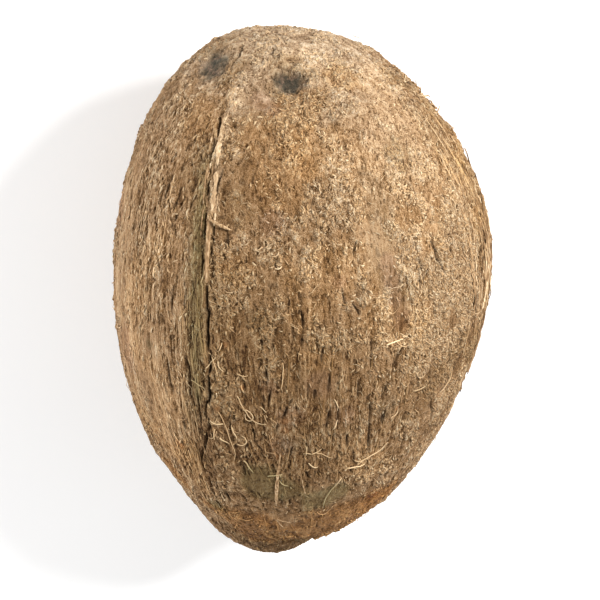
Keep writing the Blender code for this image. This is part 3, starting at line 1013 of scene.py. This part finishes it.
# How each region tints the husk: shares of red, green and blue light kept
tints = {
    "ember": (1.0, 0.95, 0.86), "copper": (1.04, 0.88, 0.74), "stain": (0.70, 0.78, 0.70),
    # The darkest green-grey tint on this line is stain, partly painted shadow beside the seam straw
    "grey": (0.90, 0.95, 1.02), "plum": (0.90, 0.87, 0.92), "moss": (0.58, 0.57, 0.48),
    # The strongest lightening tint on this line is partly paler husk and partly painted light
    "shaded": (0.74, 0.70, 0.63), "rosy": (0.91, 0.86, 0.87), "bleached": (1.22, 1.22, 1.20),
    # The dimming tint on this line is painted shade, partly soiled husk
    "rust": (0.96, 0.80, 0.58), "dim": (0.70, 0.66, 0.58), "gold": (0.94, 0.89, 0.72),
}


def tinted(finish, base):
    for name, tint in tints.items():
        base = finish.mix(finish.attribute(name), base, (*tint, 1), "MULTIPLY")
    return base


# Shades of the husk from its deepest fibres to its highest, darker low down partly as painted shade in the
# hollows, and of the eyes' scars
huskShades = {
    "brown": [(0.0, (76, 50, 22)), (0.25, (122, 90, 55)), (0.5, (159, 125, 89)), (0.78, (188, 158, 122)),
              (1.0, (210, 189, 158))],
    "cream": [(0.0, (94, 68, 40)), (0.25, (146, 117, 87)), (0.5, (186, 157, 124)), (0.78, (209, 185, 154)),
              (1.0, (226, 210, 186))],
    "scar": [(0.38, (33, 37, 34)), (0.50, (57, 57, 48)), (0.58, (94, 76, 62)), (0.72, (148, 126, 106))],
    "ashenScar": [(0.3, (112, 96, 78)), (0.7, (176, 154, 130))],
    # The crack shade is painted shade in cracks and pits
    "crack": (40, 26, 13), "roughness": 0.92, "gloss": 0.2, "bump": 0.0008,
}


def huskFinish():
    finish = Finish("matted_husk")
    names = "tip", "crack", "socket", "cap", "groove", "cluster", "combed", "worn", "ashen"
    tip, crack, socket, cap, groove, cluster, combed, worn, ashen = map(finish.attribute, names)
    crumb = finish.edge(finish.noise(1300, 2.0, 0.6, 0.85, 0.8), 0.47, 0.54) * (cluster * 0.7 + 0.3)
    fine = finish.noise(3400, 2.0, 0.7, 1.0)
    middling = finish.noise(1500, 2.0, 0.6, 0.7)
    streaks = finish.noise(420, 3.0, 0.6, 0.08)
    broad = finish.noise(170, 2.0, 0.5, 0.12)
    dashes = finish.edge(finish.noise(1500, 1.0, 0.5, 0.28), 0.31, 0.36)
    lines = finish.noise(1500, 3.0, 0.6, 0.06)
    # tip and groove make raised husk paler and low husk darker: partly painted shade in the hollows
    detail = tip * 0.30 + crumb * 0.12 + (fine - 0.5) * (cluster * 0.8 + 1.35) + (middling - 0.5) * 0.7
    detail = detail + (lines - 0.5) * (combed * 1.8 + 0.3) - (1 - dashes) * 0.4
    depth = detail * (1 - worn * 0.5) + worn * 0.15 + 0.30
    depth = depth + (streaks - 0.5) * 0.5 + (broad - 0.5) * 0.5 + groove * 0.08
    base = finish.mix(cap, finish.ramp(depth, huskShades["brown"]), finish.ramp(depth, huskShades["cream"]))
    base = tinted(finish, base)
    # Cracks and pits painted dark brown: painted shade
    base = finish.mix(crack, base, colour(huskShades["crack"]))
    scar = finish.ramp(finish.noise(520, 5.0, 0.75, 0.5), huskShades["scar"])
    scar = finish.mix(ashen, scar, finish.ramp(fine, huskShades["ashenScar"]))
    base = finish.mix(socket * 0.9, base, scar)
    height = crumb * (cluster * 0.5 + 0.3) + fine * 0.6 + middling * 0.5 + dashes * 0.2
    height = height + lines * combed * 0.7
    normal = finish.bump(height, 1.0, huskShades["bump"])
    finish.dull(base, normal, huskShades["roughness"], huskShades["gloss"])
    return finish.material


# Finishes of the fibres: dark, middling and pale shade, how the speckle runs along the nut and how strong
# it is, and whether the husk's regions tint the fibre too
fibreShades = {
    "coir_fibre": ((128, 96, 58), (181, 148, 109), (204, 182, 149), 1.0, 0.9, True),
    "pale_strand": ((160, 124, 86), (200, 166, 126), (234, 208, 170), 1.0, 0.9, True),
    "seam_straw": ((84, 60, 36), (162, 129, 92), (222, 197, 160), 0.25, 2.0, False),
}
fibreSurface = {"cap": (206, 178, 142), "capShare": 0.5, "roughness": 0.88, "gloss": 0.2, "bump": 0.0003}


def fibreFinish(name):
    finish = Finish(name)
    *shades, alongNut, speckled, tintedToo = fibreShades[name]
    tone, along = finish.attribute("tone"), finish.attribute("along")
    speckle = finish.noise(1500, 3.0, 0.6, alongNut)
    level = tone + (along - 0.5) * 0.15 + (speckle - 0.5) * speckled
    base = finish.ramp(level, list(zip((0.0, 0.5, 1.0), shades)))
    base = finish.mix(finish.attribute("cap") * fibreSurface["capShare"], base, colour(fibreSurface["cap"]))
    if tintedToo:
        base = tinted(finish, base)
    normal = finish.bump(speckle, 0.6, fibreSurface["bump"])
    finish.dull(base, normal, fibreSurface["roughness"], fibreSurface["gloss"])
    return finish.material


coir, paleCoir, straw = [fibreFinish(name) for name in fibreShades]
makeHusk(huskFinish())
print("husk made")
for number, (name, band) in enumerate(felt["pieces"].items()):
    makeFelt(name, band, 40 + number, coir)
makeStrands(paleCoir)
makeStraws(straw)
makeFlakes(straw)
makeStrips(coir)
print("fibres made")


# Studio: a pale floor in a white room, a small key light over the stem end's right, a low fill on each side
studio = {
    "floor": 6.0, "floorColour": (0.88, 0.88, 0.88, 1), "floorShade": (0.7, 0.7, 0.7, 1), "floorGlow": 0.22,
    "roomColour": (1, 1, 1, 1), "roomStrength": 0.48,
    "lights": {
        "key": {"azimuth": 36, "elevation": 40, "distance": 0.9, "size": 0.2, "watts": 11.75},
        "leftFill": {"azimuth": -178, "elevation": 12, "distance": 0.9, "size": 0.3, "watts": 9.2},
        "rightFill": {"azimuth": 5, "elevation": 14, "distance": 0.9, "size": 0.34, "watts": 1.0},
    },
}


def makeStudio():
    bpy.ops.mesh.primitive_plane_add(size=studio["floor"])
    floor = bpy.context.object
    floor.name = "floor"
    finish = Finish("pale_floor")
    base = finish.mix(finish.noise(3, 2.0, 0.5) * 0.06, studio["floorColour"], studio["floorShade"])
    finish.dull(base, None, 0.9, 0.1)
    finish.shader.inputs["Emission Color"].default_value = studio["floorColour"]
    finish.shader.inputs["Emission Strength"].default_value = studio["floorGlow"]
    floor.data.materials.append(finish.material)
    room = bpy.data.worlds.new("room")
    room.use_nodes = True
    sky = room.node_tree.nodes["Background"]
    sky.inputs["Color"].default_value = studio["roomColour"]
    sky.inputs["Strength"].default_value = studio["roomStrength"]
    bpy.context.scene.world = room
    for name, light in studio["lights"].items():
        makeLight(name, **light)


def makeLight(name, azimuth, elevation, distance, size, watts):
    data = bpy.data.lights.new(name, "AREA")
    data.energy = watts
    data.shape = "DISK"
    data.size = size
    light = bpy.data.objects.new(name, data)
    a, e = math.radians(azimuth), math.radians(elevation)
    back = Vector((math.sin(a) * math.cos(e), -math.cos(a) * math.cos(e), math.sin(e)))
    light.location = Vector(middle) + back * distance
    light.rotation_euler = back.to_track_quat("Z", "Y").to_euler()
    light.visible_camera = False
    bpy.context.scene.collection.objects.link(light)


# The camera looks down on the lying nut, with the stem end at the top of the picture
view = {"tilt": 24, "roll": -0.9, "distance": 0.87, "across": 0.158, "aim": (0.0005, 0.00095)}


def makeCamera():
    tilt, roll = math.radians(view["tilt"]), math.radians(view["roll"])
    back = front * math.cos(tilt) + stem * math.sin(tilt)
    up = stem * math.cos(tilt) - front * math.sin(tilt)
    pictureRight = right * math.cos(roll) + up * math.sin(roll)
    pictureUp = up * math.cos(roll) - right * math.sin(roll)
    data = bpy.data.cameras.new("camera")
    data.lens = data.sensor_width * view["distance"] / view["across"]
    camera = bpy.data.objects.new("camera", data)
    aim = middle + pictureRight * view["aim"][0] + pictureUp * view["aim"][1]
    camera.location = Vector(aim + back * view["distance"])
    turn = np.stack((pictureRight, pictureUp, back), 1)
    camera.rotation_mode = "QUATERNION"
    camera.rotation_quaternion = Matrix(turn.tolist()).to_quaternion()
    bpy.context.scene.collection.objects.link(camera)
    bpy.context.scene.camera = camera


makeStudio()
makeCamera()
bpy.context.scene.view_settings.view_transform = "Standard"
print("studio made")
